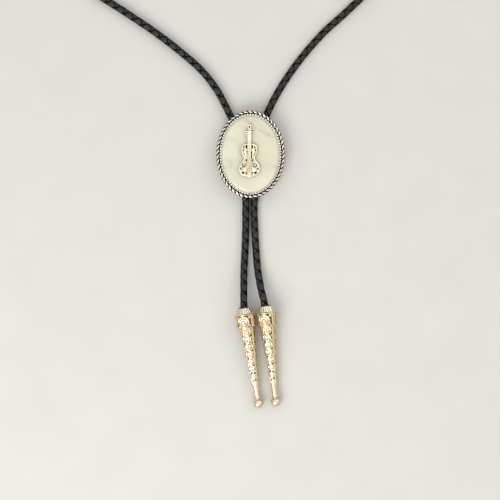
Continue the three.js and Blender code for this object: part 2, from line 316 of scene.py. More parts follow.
def leather_material(colour):
    """Chrome-tanned black calf laces, drum-dyed and waxed: fine pores and a soft waxy sheen. The
    attribute "crown" paints shade, near black, where a lace dives under its neighbours and along
    its edges, and takes the sheen off there."""
    material, tree, shader, where = new_material("waxed black leather")
    crown = node(tree, "ShaderNodeAttribute", out="Fac", attribute_name="crown")
    pores = node(tree, "ShaderNodeTexVoronoi", {"Scale": 3500.0}, {"Vector": where})
    cloudy = node(tree, "ShaderNodeTexNoise", {"Scale": 420.0, "Detail": 4.0}, {"Vector": where})
    fine = node(tree, "ShaderNodeTexNoise", {"Scale": 2600.0, "Detail": 3.0}, {"Vector": where})
    worn = node(tree, "ShaderNodeValToRGB", links={"Fac": cloudy},
                stops=((0.3, colour), (0.75, linear("#2b2b27"))))
    # Painted shade: near black where a lace goes under its neighbour and along its edges
    ground = node(tree, "ShaderNodeValToRGB", links={"Fac": crown},
                  stops=((0.4, linear("#050505")), (0.8, grey(1.0))))
    shade = node(tree, "ShaderNodeMix", links={6: worn, 7: ground}, **MULTIPLY)
    rough = node(tree, "ShaderNodeValToRGB", links={"Fac": cloudy},
                 stops=((0.25, grey(0.34)), (0.8, grey(0.52))))
    # Sheen only on the crowns, none in the painted shade
    shine = node(tree, "ShaderNodeValToRGB", links={"Fac": crown},
                 stops=((0.4, grey(0.0)), (0.8, grey(0.36))))
    bump = node(tree, "ShaderNodeBump", {"Strength": 0.35, "Distance": 0.00012},
                {"Height": pores})
    bump = node(tree, "ShaderNodeBump", {"Strength": 0.3, "Distance": 0.0001},
                {"Height": fine, "Normal": bump})
    connect(shader, {"IOR": 1.48}, {"Base Color": shade, "Roughness": rough,
                                    "Specular IOR Level": shine, "Normal": bump})
    return material


def plated_material(name, finish, rough, tint="#ffffff"):
    """Plated casting, oxidised and polished back, with fine handling scratches: black where the
    attribute "high" is low, stained above and bright on the high places. Besides the oxide in the
    hollows, that black and stain are painted shade on some pieces. finish holds stops of height
    and colour, for the attribute "high". The tint shows where the attribute "warm" is 1."""
    material, tree, shader, where = new_material(name)
    high, warm = (node(tree, "ShaderNodeAttribute", out="Fac", attribute_name=key)
                  for key in ("high", "warm"))
    cloudy = node(tree, "ShaderNodeTexNoise", {"Scale": 700.0, "Detail": 5.0}, {"Vector": where})
    uneven = node(tree, "ShaderNodeMath", {1: 0.2, 2: -0.1}, {0: cloudy},
                  operation="MULTIPLY_ADD")
    lifted = node(tree, "ShaderNodeMath", links={0: high, 1: uneven}, operation="ADD")
    # Black low, stained above, bright on top: oxide, and painted shade where a piece's "high"
    # carries it
    oxide_and_shade = node(tree, "ShaderNodeValToRGB", links={"Fac": lifted}, stops=finish)
    tinted = node(tree, "ShaderNodeValToRGB", links={"Fac": warm},
                  stops=((0.0, grey(1.0)), (1.0, linear(tint))))
    shade = node(tree, "ShaderNodeMix", links={6: oxide_and_shade, 7: tinted}, **MULTIPLY)
    roughness = node(tree, "ShaderNodeValToRGB", links={"Fac": cloudy},
                     stops=((0.3, grey(rough[0])), (0.75, grey(rough[1]))))
    drawn_out = node(tree, "ShaderNodeMapping",
                     {"Scale": (9000.0, 1500.0, 4000.0), "Rotation": (0.0, 0.0, 0.6)},
                     {"Vector": where})
    scratches = node(tree, "ShaderNodeTexNoise", {"Scale": 1.0, "Detail": 2.0},
                     {"Vector": drawn_out})
    bump = node(tree, "ShaderNodeBump", {"Strength": 0.1, "Distance": 0.00004},
                {"Height": scratches})
    connect(shader, {"Metallic": 1.0},
            {"Base Color": shade, "Roughness": roughness, "Normal": bump})
    return material


NACRE_VEINS = [  # centre, slope in degrees, half length and half width
    ((-0.0004, 0.0184), -32, (0.0055, 0.0013)), ((0.0092, 0.012), -30, (0.0075, 0.0011)),
]


def pearl_material(colour):
    """Polished mother-of-pearl: milky, faintly green layers of nacre that run across the stone
    in soft waves, two greyer veins, and a thin-film play of colour under a glassy polish."""
    material, tree, shader, where = new_material("polished mother-of-pearl")
    slanted = node(tree, "ShaderNodeMapping", {"Scale": (0.02, 0.0065, 0.02),
                                               "Rotation": (0.0, 0.0, math.radians(-35))},
                   {"Vector": where}, vector_type="TEXTURE")
    drift = node(tree, "ShaderNodeTexNoise", {"Scale": 1.0, "Detail": 3.0, "Distortion": 0.9},
                 {"Vector": slanted})
    layers = node(tree, "ShaderNodeTexWave",
                  {"Scale": 9.0, "Distortion": 14.0, "Detail": 3.0, "Detail Scale": 0.8},
                  {"Vector": where}, "Fac", wave_type="BANDS", bands_direction="DIAGONAL")
    shade = node(tree, "ShaderNodeValToRGB", links={"Fac": drift},
                 stops=((0.3, linear("#bcc0b1")), (0.42, colour), (0.62, linear("#d5d6bf")),
                        (0.8, linear("#cdc9b6"))))
    fainter = [node(tree, "ShaderNodeValToRGB", links={"Fac": layers},
                    stops=((0.1, grey(0.93)), (0.6, grey(1.0))))]
    frayed = node(tree, "ShaderNodeTexNoise", {"Scale": 260.0, "Detail": 3.0},
                  {"Vector": where}, "Color")
    bent = node(tree, "ShaderNodeVectorMath", {1: (0.0028, 0.0028, 0.0)}, {0: frayed, 2: where},
                operation="MULTIPLY_ADD")
    for centre, slope, reach in NACRE_VEINS:
        along = node(tree, "ShaderNodeMapping",
                     {"Location": (*centre, STONE_HIGH.z), "Scale": (*reach, 0.02),
                      "Rotation": (0.0, 0.0, math.radians(slope))},
                     {"Vector": bent}, vector_type="TEXTURE")
        vein = node(tree, "ShaderNodeTexGradient", links={"Vector": along}, out="Fac",
                    gradient_type="SPHERICAL")
        fainter.append(node(tree, "ShaderNodeValToRGB", links={"Fac": vein},
                            stops=((0.0, grey(1.0)), (0.6, grey(0.85)))))
    for layer in fainter:
        shade = node(tree, "ShaderNodeMix", links={6: shade, 7: layer}, **MULTIPLY)
    bump = node(tree, "ShaderNodeBump", {"Strength": 0.05, "Distance": 0.0001},
                {"Height": drift})
    connect(shader, {"Roughness": 0.22, "IOR": 1.56, "Coat Weight": 0.6, "Coat Roughness": 0.08,
                     "Subsurface Weight": 0.15, "Subsurface Radius": (0.001, 0.001, 0.0008),
                     "Thin Film Thickness": 420.0, "Thin Film IOR": 1.45},
            {"Base Color": shade, "Normal": bump})
    return material


def steel_material():
    """Nickel-plated spring steel, rolled and pressed: fine straight rolling lines."""
    material, tree, shader, where = new_material("pressed nickel-plated steel")
    rolled = node(tree, "ShaderNodeMapping", {"Scale": (9000.0, 250.0, 9000.0)},
                  {"Vector": where})
    lines = node(tree, "ShaderNodeTexNoise", {"Scale": 1.0, "Detail": 3.0}, {"Vector": rolled})
    shade = node(tree, "ShaderNodeValToRGB", links={"Fac": lines},
                 stops=((0.3, linear("#8f8e8a")), (0.7, linear("#b3b2ad"))))
    rough = node(tree, "ShaderNodeValToRGB", links={"Fac": lines},
                 stops=((0.2, grey(0.28)), (0.8, grey(0.45))))
    connect(shader, {"Metallic": 1.0}, {"Base Color": shade, "Roughness": rough})
    return material


def table_material(colour):
    """A painted table top: matt, with a barely uneven coat."""
    material, tree, shader, where = new_material("matt painted board")
    coat = node(tree, "ShaderNodeTexNoise", {"Scale": 40.0, "Detail": 4.0}, {"Vector": where})
    darker = tuple(0.965 * value for value in colour[:3]) + (1.0,)
    shade = node(tree, "ShaderNodeValToRGB", links={"Fac": coat},
                 stops=((0.3, darker), (0.7, colour)))
    connect(shader, {"Roughness": 0.7}, {"Base Color": shade})
    return material


def tent():
    """A white cloth tent: bright overhead and dim towards the floor, so that metal has both
    bright crowns and dark sides."""
    world = bpy.data.worlds.new("tent")
    world.use_nodes = True
    tree = world.node_tree
    way = node(tree, "ShaderNodeTexCoord", out="Generated")
    height = node(tree, "ShaderNodeSeparateXYZ", links={"Vector": way}, out="Z")
    cloth = node(tree, "ShaderNodeValToRGB", links={"Fac": height},
                 stops=((0.1, linear("#5e5f60")), (0.45, linear("#fdfdfb"))))
    connect(tree.nodes["Background"], {"Strength": 1.05}, {"Color": cloth})
    return world


# ---- Cord ----

LACE_BOW = 0.15 / MM  # how strongly a lace curves across its width to lie round the cord
LACE_DIVE = 1.5  # how abruptly a lace goes from over to under
LACE_WAVE = 0.46  # how deep it goes, in half thicknesses
LACE_EDGE = 0.16  # share of a lace's half width darkened at each edge: painted shade between the laces, and the duller cut edge
LACE_CORNERS = 12  # points round a lace's section
LACE_SQUARE = (0.5, 0.7)  # how square the section is, across and through; 1 is an oval
STEPS_PER_LAY = 24  # sections of a lace in one turn round the cord
ROUTE_STEPS = 60  # steps of the curve between two points of a route


def even_route(route, spacing):
    """Evenly spaced points in metres along a centripetal Catmull-Rom curve through a route."""
    points = np.round(np.array(route) * MM, 6)
    padded = np.vstack([2 * points[0] - points[1], points, 2 * points[-1] - points[-2]])
    pieces = []
    for first, start, end, last in zip(padded, padded[1:], padded[2:], padded[3:]):
        before, span, after = (math.sqrt(np.linalg.norm(b - a))
                               for a, b in ((first, start), (start, end), (end, last)))
        leave = ((start - first) / before - (end - first) / (before + span)
                 + (end - start) / span) * span
        arrive = ((end - start) / span - (last - start) / (span + after)
                  + (last - end) / after) * span
        t = np.linspace(0, 1, ROUTE_STEPS, endpoint=False)[:, None]
        pieces.append(start * (2 * t**3 - 3 * t**2 + 1) + leave * (t**3 - 2 * t**2 + t)
                      + end * (3 * t**2 - 2 * t**3) + arrive * (t**3 - t**2))
    dense = np.vstack([*pieces, points[-1:]])
    along = np.concatenate([[0], np.cumsum(np.linalg.norm(np.diff(dense, axis=0), axis=1))])
    wanted = np.linspace(0, along[-1], round(along[-1] / spacing) + 1)
    return np.stack([np.interp(wanted, along, dense[:, axis]) for axis in range(3)], axis=1)


def unit(vectors):
    """The directions of vectors."""
    return vectors / np.linalg.norm(vectors, axis=-1, keepdims=True)


def sleeve(rings, around):
    """Faces between rings of points, with a cap at both ends."""
    faces = []
    for start in range(0, (rings - 1) * around, around):
        for at in range(around):
            after = (at + 1) % around
            faces.append((start + at, start + after, start + around + after,
                          start + around + at))
    faces.append(tuple(range(around - 1, -1, -1)))
    faces.append(tuple((rings - 1) * around + at for at in range(around)))
    return faces


def braid(name, route, facing, settings):
    """A round braid of four flat laces along a route. Two laces wind each way, and each goes
    over one and under the next. facing holds pairs of a share of the route and the angle from
    straight up at which a column of crossings lies there."""
    step = settings.lay / STEPS_PER_LAY
    line = even_route(route, step)
    count = len(line)
    ahead = unit(np.gradient(line, axis=0))
    up = unit(np.array([0.0, 0.0, 1.0]) - ahead[:, 2:] * ahead)
    side = np.cross(ahead, up)
    along = np.arange(count) * step
    column = np.radians(np.interp(along / along[-1], *zip(*facing)))
    thick = settings.lace_thickness
    turn = np.linspace(0, TURN, LACE_CORNERS, endpoint=False)
    across, deep = (size / 2 * np.sign(part) * np.abs(part) ** power for size, part, power in
                    zip((settings.lace_width, thick), (np.cos(turn), np.sin(turn)), LACE_SQUARE))
    bow = LACE_BOW * across ** 2
    points, faces, crown = [], [], []
    for lace in range(4):
        way = 1 if lace < 2 else -1
        angle = way * TURN * along / settings.lay + math.pi * (lace % 2)
        over = np.tanh(LACE_DIVE * way * np.cos(2 * angle)) / math.tanh(LACE_DIVE)
        angle = angle + column
        radial = np.cos(angle)[:, None] * up + np.sin(angle)[:, None] * side
        reach = settings.diameter / 2 - thick / 2 + LACE_WAVE * thick * (over - 1)
        centre = line + radial * reach[:, None]
        lengthwise = unit(np.gradient(centre, axis=0))
        outward = unit(radial - (radial * lengthwise).sum(1, keepdims=True) * lengthwise)
        sideways = np.cross(lengthwise, outward)
        ring = (centre[:, None] + sideways[:, None] * across[None, :, None]
                + outward[:, None] * (deep - bow)[None, :, None])
        start = lace * count * LACE_CORNERS
        points.append(ring.reshape(-1, 3))
        faces += [tuple(start + corner for corner in face)
                  for face in sleeve(count, LACE_CORNERS)]
        # Painted shade for the leather: dark where a lace dives under the next one and towards
        # its edges
        on_top = painted_shade_by_level(over)[:, None]
        inside_edge = np.clip((1 - np.abs(across / across.max())) / LACE_EDGE, 0, 1)[None, :]
        crown.append((on_top * inside_edge).reshape(-1))
    cord = mesh_piece(name, np.vstack(points), faces=faces)
    shade_value(cord, "crown", np.concatenate(crown))
    edit(cord)
    # Cut off square inside the clasp, where the neck loop and the tails meet.
    out = (0, math.copysign(1, route[0][1] - route[1][1]), 0)
    bpy.ops.mesh.bisect(plane_co=line[0], plane_no=out, clear_outer=True,
                        threshold=0.0001 * MM)
    bpy.ops.mesh.select_all(action="SELECT")
    bpy.ops.mesh.fill_holes(sides=0)
    close_edit()
    return smooth(cord, 60), line


# ---- Slide ----

BEZEL_GAP = 0.08 * MM  # between the stone and the polished lip that holds it
LIP = 0.3 * MM  # thickness of that lip
LIP_CROWN = 0.05 * MM  # how far its top is rounded
RIM_DROP = 0.66 * MM  # from the lip's top down to the ledge that carries the beads
TRAY_INSIDE = 0.5 * MM  # how far the tray ends inside the rope's outer edge
BEAD_RADIUS = 0.43 * MM
BEAD_SHAPE = (1, 1.5, 0.95)  # across the rim, along it and up
ROPE_WIRE = 0.54  # radius of one of the rope's wires, as a share of the rope's radius
ROPE_FLAT = 1.3  # how many times wider than thick the twist has pressed it
ROPE_STEPS = 10  # steps of the twist from one strand to the next
# Reaches from the rope's middle, as shares of its radius, over which its colour changes: painted
# shade down the wires' sides and on one side of the rope, with the silver's oxide in the groove
ROPE_CROWN = (0.88, 0.95)  # from dark to bright; the dark is painted shade on the wires' sides, with oxide in the groove
ROPE_OUTSIDE = (0.72, 0.92)  # from bright to dark, on the side away from the stone, as painted shade


def oval_disc(name, half_x, half_y, height):
    """A flat oval face, selected in edit mode."""
    disc = add(bpy.ops.mesh.primitive_circle_add, vertices=160, radius=1, fill_type="NGON",
               location=(0, 0, height))
    disc.name = disc.data.name = name
    disc.scale = (half_x, half_y, 1)
    edit(settle(disc))
    return disc


def pull_up(distance):
    """Extrudes the selected face straight up."""
    bpy.ops.mesh.extrude_region_move(TRANSFORM_OT_translate={"value": (0, 0, distance)})


def draw_in(distance, rise=0.0):
    """Insets the selected face and lifts it."""
    bpy.ops.mesh.inset(thickness=distance, use_even_offset=True)
    if rise:
        bpy.ops.transform.translate(value=(0, 0, rise))


def oval_line(outside, count):
    """Evenly spaced points at a distance outside the stone's oval edge, and each one's outward
    direction."""
    def line(angle):
        """The points at some angles, and their outward directions."""
        ray = np.stack([np.cos(angle), np.sin(angle)], axis=1)
        outward = unit(ray / (STONE_X, STONE_Y))
        return ray * (STONE_X, STONE_Y) + outside * outward, outward

    angle = np.linspace(0, TURN, 4001)
    steps = np.linalg.norm(np.diff(line(angle)[0], axis=0), axis=1)
    along = np.concatenate([[0], np.cumsum(steps)])
    wanted = np.linspace(0, along[-1], count, endpoint=False)
    return line(np.interp(wanted, along, angle))


def rope_edge(strands, radius):
    """Two wires twisted tightly together, which flattens them, and bent round the slide."""
    wire_radius = ROPE_WIRE * radius
    track = add(bpy.ops.curve.primitive_bezier_circle_add, radius=1,
                location=(0, 0, SETTING_LOW.z + radius))
    track.scale = (STONE_X + BORDER - radius, STONE_Y + BORDER - radius, 1)
    settle(track)
    track.data.resolution_u = 96
    sections = []
    for side in (1, -1):
        section = add(bpy.ops.mesh.primitive_circle_add, vertices=20, radius=wire_radius,
                      location=(side * (radius - wire_radius), 0, 0))
        section.scale.y = ROPE_FLAT
        sections.append(section)
    rope = settle(join(sections, "rope_edge"))
    steps = strands * ROPE_STEPS
    modify(rope, "SCREW", axis="Z", angle=strands / 2 * TURN, steps=steps, render_steps=steps,
           screw_offset=track.data.splines[0].calc_length(), use_merge_vertices=False)
    rope.rotation_euler.y = math.radians(90)
    settle(rope)
    # Painted shade: dark down the wires' sides and on one side of the rope, partly the silver's
    # oxide
    outward, up = spots_of(rope)[:, 1:].T / radius
    crown = np.interp(np.hypot(outward, up), ROPE_CROWN, (0, 1))
    lit_side = np.interp(outward, ROPE_OUTSIDE, (1, 0))
    shade_value(rope, "high", np.minimum(crown, lit_side))
    modify(rope, "CURVE", object=track, deform_axis="POS_X")
    bpy.data.objects.remove(track)
    edit(rope)
    close_edit(0.03 * MM)
    return rope


def bead_rim(count, outside, height):
    """Small beads soldered side by side, each a flattened ball of its own."""
    model = add(bpy.ops.mesh.primitive_uv_sphere_add, segments=12, ring_count=8,
                radius=BEAD_RADIUS)
    beads = []
    for centre, outward in zip(*oval_line(outside, count)):
        bead = new_object("bead", model.data.copy())
        bead.location = (*centre, height)
        bead.rotation_euler.z = math.atan2(outward[1], outward[0])
        bead.scale = BEAD_SHAPE
        beads.append(bead)
    bpy.data.objects.remove(model)
    rim = settle(join(beads, "bead_rim"))
    # Painted shade low on each bead, with the oxide between them
    shade_value(rim, "high", painted_shade_by_level((spots_of(rim)[:, 2] - height) / BEAD_RADIUS))
    return rim


def tray(ledge_width):
    """The oval back plate, with a thin polished lip round the stone and a ledge for the beads."""
    floor = STONE_LOW.z - GAP
    ledge = SETTING_HIGH.z - RIM_DROP
    edge = BORDER - TRAY_INSIDE
    plate = oval_disc("tray", STONE_X + edge, STONE_Y + edge, SETTING_LOW.z)
    pull_up(floor - SETTING_LOW.z)
    draw_in(edge - BEZEL_GAP - LIP - ledge_width)
    pull_up(ledge - floor)
    draw_in(ledge_width)
    pull_up(SETTING_HIGH.z - LIP_CROWN - ledge)
    draw_in(LIP / 2, LIP_CROWN)
    draw_in(LIP / 2, -LIP_CROWN)
    pull_up(floor - SETTING_HIGH.z + LIP_CROWN)
    bpy.ops.object.mode_set(mode="OBJECT")
    heights = spots_of(plate)[:, 2]
    margin = 0.01 * MM
    # Black from the bottom up to the bead ledge and bright above: painted shade under the beads
    # and the rope, along with the oxide there
    dark = (heights > SETTING_LOW.z + margin) & (heights < ledge + margin)
    shade_value(plate, "high", np.where(dark, 0.0, 0.9))
    return plate


def stone():
    """A low cabochon: straight side, rounded shoulder, nearly flat top."""
    gem = oval_disc("pearl_cabochon", STONE_X, STONE_Y, STONE_LOW.z)
    height = STONE_HIGH.z - STONE_LOW.z
    side = 0.42 * height
    rise = 0.82 * (height - side)  # of the shoulder
    shoulder = 1.5 * MM
    pull_up(side)
    steps = 9
    for step in range(steps):
        before, now = (math.radians(90 * value / steps) for value in (step, step + 1))
        draw_in(shoulder * (math.cos(before) - math.cos(now)),
                rise * (math.sin(now) - math.sin(before)))
    crown = height - side - rise
    rings = 7
    ring_width = 0.96 * (STONE_X - shoulder) / rings
    for ring in range(rings - 1):
        before, now = (ring / rings, (ring + 1) / rings)
        draw_in(ring_width, crown * (now * (2 - now) - before * (2 - before)))
    bpy.ops.mesh.poke()
    bpy.ops.object.mode_set(mode="OBJECT")
    return smooth(gem, 50)


# ---- Violin ----

VIOLIN_X = (VIOLIN_LOW.x + VIOLIN_HIGH.x) / 2
# Right half of the body, from the bottom up: out from the axis and up the slide, in mm
VIOLIN_HALF = [(0, -11.9), (2.4, -11.7), (4.4, -10.6), (5.5, -8.4), (5.2, -6.2), (4.0, -4.4),
               (3.1, -3.2), (3.0, -1.7), (3.7, -0.4), (4.2, 1.2), (4.1, 3.0), (3.2, 4.6),
               (1.0, 5.2)]
# Pierced openings, on both sides: out, up, half length, half width in mm, and tilt in degrees
VIOLIN_OPENINGS = [(1.5, 3.75, 1.0, 0.36, 0), (2.95, 3.6, 0.75, 0.3, -45),
                   (3.2, 1.85, 0.5, 0.26, 0), (2.75, -0.4, 0.6, 0.22, -30),
                   (1.5, -3.4, 0.6, 0.3, 0), (3.0, -5.75, 1.3, 0.98, 0),
                   (4.4, -7.75, 0.5, 0.3, 35), (3.35, -9.95, 0.8, 0.48, -50),
                   (1.45, -10.1, 0.5, 0.22, 0), (1.9, -11.1, 0.42, 0.17, 80)]
# Slots beside the fingerboard, placed in the same way but on one side each; the black back shows
# in them as the board's painted shadow
BOARD_SHADOW_SLOTS = [(1.22, -0.7, 1.9, 0.14, 0), (-1.2, 0.9, 0.8, 0.1, 0)]
# Beads on the plate, on both sides: out, up and radius in mm
VIOLIN_BEADS = [(2.2, 3.5, 0.38), (3.3, 2.7, 0.34), (2.0, -4.5, 0.44), (3.0, -5.75, 0.26),
                (4.35, -8.75, 0.45), (4.0, -6.7, 0.3), (2.05, -10.7, 0.42)]
# Raised leaves on both sides, as outlines in mm
VIOLIN_LEAVES = [[(1.6, 2.7), (2.35, 2.5), (2.85, 1.4), (2.65, 0.2), (2.1, -1.0), (1.7, -2.6),
                  (1.5, -1.5), (1.5, 1.0)],
                 [(1.35, -6.5), (1.9, -7.2), (3.1, -7.7), (3.45, -8.6), (2.7, -9.4),
                  (1.8, -9.3), (1.3, -8.2)]]
CURL = (3.0, -5.75, 0.62)  # centre out and up, and radius, in mm
# Pegs: centre out and up and half width in mm, and 1 or -1 for the side that they stand on
VIOLIN_PEGS = [(1.6, 12.05, 0.85, 1), (-1.6, 11.05, 0.6, -1)]


def both_sides(half):
    """A closed outline from its right half."""
    return half + [(-x, y) for x, y in reversed(half) if x]


def curve_piece(name, outlines, height, closed, corners, **settings):
    """A mesh from curves through points in mm, at the violin's axis and a height."""
    curve = bpy.data.curves.new(name, "CURVE")
    curve.resolution_u = 6
    for key, value in settings.items():
        setattr(curve, key, value)
    for points in outlines:
        spline = curve.splines.new("BEZIER")
        spline.bezier_points.add(len(points) - 1)
        for knot, (x, y) in zip(spline.bezier_points, points):
            knot.co = (x * MM, y * MM, 0)
            knot.handle_left_type = knot.handle_right_type = corners
        spline.use_cyclic_u = closed
    piece = new_object(name, curve)
    piece.location = (VIOLIN_X, 0, height)
    use(piece)
    bpy.ops.object.convert(target="MESH")
    return settle(bpy.context.active_object)


def drawn(name, outlines, low, high, edge, corners="AUTO"):
    """A flat plate with rounded edges from closed outlines in mm; an outline inside another is
    an opening. corners is AUTO for a smooth outline and VECTOR for a straight-sided one."""
    return curve_piece(name, outlines, (low + high) / 2, True, corners, dimensions="2D",
                       fill_mode="BOTH", bevel_depth=edge, bevel_resolution=2, offset=-edge,
                       extrude=(high - low) / 2 - edge)


def wire(name, points, radius, height, closed=False):
    """A round wire along smooth points in mm, at one height."""
    return curve_piece(name, [points], height, closed, "AUTO", dimensions="3D",
                       bevel_depth=radius, bevel_resolution=3, use_fill_caps=True)


def oval(x, y, half_wide, half_high, turns):
    """Points round an oval at some angles in degrees."""
    return [(x + half_wide * math.cos(math.radians(turn)),
             y + half_high * math.sin(math.radians(turn))) for turn in turns]


def drop(x, y, half_long, half_wide, tilt):
    """A small oval outline with its long side turned by tilt from upright."""
    sine, cosine = math.sin(math.radians(tilt)), math.cos(math.radians(tilt))
    around = [(half_wide, 0), (0, half_long), (-half_wide, 0), (0, -half_long)]
    return [(x + a * cosine + b * sine, y - a * sine + b * cosine) for a, b in around]


def narrowed(half, distance):
    """The right half of an outline, drawn in by a distance."""
    inner = []
    for before, here, after in zip([half[0]] + half, half, half[1:] + [half[-1]]):
        along = Vector(after) - Vector(before)
        inward = Vector((-along.y, along.x)).normalized()
        point = Vector(here) + inward * distance
        inner.append((max(point.x, 0.0) if here[0] else 0.0, point.y))
    return inner


def ball(x, y, radius, height):
    """A low bead on the violin, placed in mm from its axis."""
    bead = add(bpy.ops.mesh.primitive_uv_sphere_add, segments=14, ring_count=8,
               radius=radius * MM)
    bead.scale.z = 0.8
    bead.location = (VIOLIN_X + x * MM, y * MM, height)
    return settle(bead)


def shade_sheet(outline, corners="AUTO"):
    """A thin plate low on the stone, painted black as shade, for a hole or a gap in the violin's
    head.
    """
    return drawn("shade_sheet", [outline], VIOLIN_LOW.z, VIOLIN_LOW.z + 0.2 * MM, 0.0, corners)


def body_parts(bottom, face):
    """The violin's plate with its pierced openings, rim wire, curls and beads."""
    back_top = bottom + 0.3 * MM
    openings = [drop(side * x, y, half_long, half_wide, side * tilt)
                for x, y, half_long, half_wide, tilt in VIOLIN_OPENINGS for side in (1, -1)]
    openings += [drop(*slot) for slot in BOARD_SHADOW_SLOTS]
    parts = [drawn("back", [both_sides(narrowed(VIOLIN_HALF, 0.15))], bottom, back_top, 0.0),
             drawn("plate", [both_sides(VIOLIN_HALF)] + openings, back_top, face, 0.06 * MM),
             wire("rim", both_sides(narrowed(VIOLIN_HALF, 0.36)), 0.36 * MM, face, True)]
    x, y, radius = CURL
    for side in (1, -1):
        turns = [(side * (x - radius * (1 - 0.06 * step) * math.sin(step * TURN / 8 - 0.3)),
                  y + 1.35 * radius * (1 - 0.06 * step) * math.cos(step * TURN / 8 - 0.3))
                 for step in range(9)]
        parts.append(wire("curl", [(side * 2.3, y + 1.6)] + turns, 0.17 * MM, face))
        parts += [ball(side * out, up, size, face) for out, up, size in VIOLIN_BEADS]
        parts += [drawn("leaf", [[(side * a, b) for a, b in leaf]], back_top,
                        face + 0.2 * MM, 0.12 * MM) for leaf in VIOLIN_LEAVES]
    return parts


def neck_parts(face, top):
    """The fingerboard with its two round rails, the tailpiece, the head, scroll and pegs."""
    board = both_sides([(0.95, -7.4), (0.98, 11.8)])
    tail = both_sides([(0.75, -12.2), (1.2, -10.4), (0.8, -7.5)])
    head = both_sides([(0.0, 12.4), (0.65, 12.45), (0.6, 12.9), (0.45, 13.3), (0.0, 13.3)])
    nut = [(-0.85, 11.75), (0.0, 11.85), (0.85, 11.75)]
    scroll = oval(0, 14.0, 0.75, 0.75, range(-60, 241, 50))
    parts = [drawn("board", [board], face - 0.2 * MM, top - 0.1 * MM, 0.1 * MM, "VECTOR")]
    for side in (1, -1):
        rail = [(side * x, y) for x, y in ((0.07, -7.3), (0.07, 11.7), (0.94, 11.7),
                                           (0.91, -7.3))]
        parts.append(drawn("rail", [rail], top - 0.5 * MM, top, 0.14 * MM, "VECTOR"))
    parts += [drawn("tailpiece", [tail], face, top - 0.2 * MM, 0.2 * MM, "VECTOR"),
              # Painted shadow: a black sheet in the gap between the board and the pegbox
              shade_sheet(both_sides([(0.9, 11.6), (0.7, 12.8)]), "VECTOR"),
              drawn("pegbox", [head], face - 0.4 * MM, top - 0.5 * MM, 0.15 * MM),
              wire("nut", nut, 0.26 * MM, top - 0.3 * MM),
              wire("scroll", scroll, 0.32 * MM, top - 0.5 * MM)]
    for x, y, wide, way in VIOLIN_PEGS:
        ring = oval(x, y, wide, 0.6, range(0, 360, 60))
        shaft = [(x - way * 1.5, y - 0.1), (x - way * 0.6, y)]
        # A black sheet inside each peg's ring, as painted shade
        parts += [wire("peg", ring, 0.24 * MM, face, True), shade_sheet(drop(x, y, 0.55, wide, 0)),
                  wire("shaft", shaft, 0.24 * MM, face - 0.1 * MM)]
    # A black sheet in the scroll's eye, as painted shade
    parts.append(shade_sheet(drop(0, 13.95, 0.5, 0.5, 0)))
    return parts


# ---- Tips ----

TIP_LENGTH = 51.2  # from the collar's top to the middle of the ball, in mm
BALL = 2.65  # radius of the ball in mm
BALL_STEPS = 32  # from the neck round to the tip's end
# Across and up, in metres, of the middle of the ball; then in degrees its lean
# and the turn of the pattern round the tip
TIP_PLACES = {"left": (0.0042, -0.1309, 8.9, -8), "right": (0.0133, -0.1301, 6.1, -15)}
# The turned outline in mm: down from the collar's top, and radius. It starts at the bottom of
# the hole for the cord and ends under the ball.
TIP_OUTLINE = [(6.0, 0.0), (6.0, 2.45), (0.25, 2.75), (0.0, 2.9), (0.15, 3.1), (3.0, 4.3),
               (3.2, 4.75), (3.35, 5.05), (3.6, 5.15), (4.1, 5.12), (7.0, 5.08), (9.9, 5.15),
               (10.2, 5.0), (10.4, 4.1), (12.4, 3.9), (20.4, 3.25), (28.4, 2.6), (36.4, 2.0),
               (40.4, 1.75), (42.0, 1.62), (47.7, 1.5), (47.9, 1.72), (48.25, 1.74),
               (48.4, 1.5), (48.5, 1.05), (48.75, 1.0)]
TIP_SIDES = 112
TIP_PANELS = 3  # panels of scrollwork round the tip, with a plain bright band between them
TIP_STEP = 0.24  # spacing of the rings in mm
# Stretches of the tip with relief, in mm down from the collar's top
COLLAR = (0.3, 3.0)
SHOULDER = (3.6, 10.1)
CONE = (10.6, 41.4)
BORE = ((0, 6.0), (2.95, 2.6))  # depths, and radii in mm that only the bore lies within
FLANGE = (10.3, 5.2)  # down and out in mm, the shoulder's edge that the tip leans on
TABLE_GAP = 0.05 * MM  # between the tips and the table
PLAIN_HEIGHT = 0.62  # of the plain bands; 0 is the relief's ground and 1 its ridges
MEAN_HEIGHT = 0.55  # height that stays on the turned outline


def tip_profile():
    """Evenly spaced points down the turned outline and round the ball, in mm."""
    points = []
    for (down, radius), (next_down, next_radius) in zip(TIP_OUTLINE, TIP_OUTLINE[1:]):
        gap = math.hypot(next_down - down, next_radius - radius)
        pieces = max(1, round(gap / TIP_STEP))
        points += [(down + (next_down - down) * at / pieces,
                    radius + (next_radius - radius) * at / pieces) for at in range(pieces)]
    neck = math.asin(TIP_OUTLINE[-1][1] / BALL)
    for at in range(BALL_STEPS + 1):
        angle = neck + (math.pi - neck) * at / BALL_STEPS
        points.append((TIP_LENGTH - BALL * math.cos(angle), BALL * math.sin(angle)))
    return points


def ridge(distance, half_width):
    """The height of a rounded ridge at a distance from its middle line, 0 to 1."""
    return np.sqrt(np.clip(1 - (distance / half_width) ** 2, 0, 1))


def spiral(across, down, radius, spacing, way):
    """The distance in mm to the nearest coil of a flat spiral of a given radius; 9 outside it."""
    out = np.hypot(across, down)
    turn = np.arctan2(down, way * across) / TURN
    coil = (radius - out) / spacing - turn
    away = np.abs(coil - np.round(coil)) * spacing
    return np.where(out < radius + 0.4 * spacing, np.where(out > 0.3 * spacing, away, 0), 9.0)


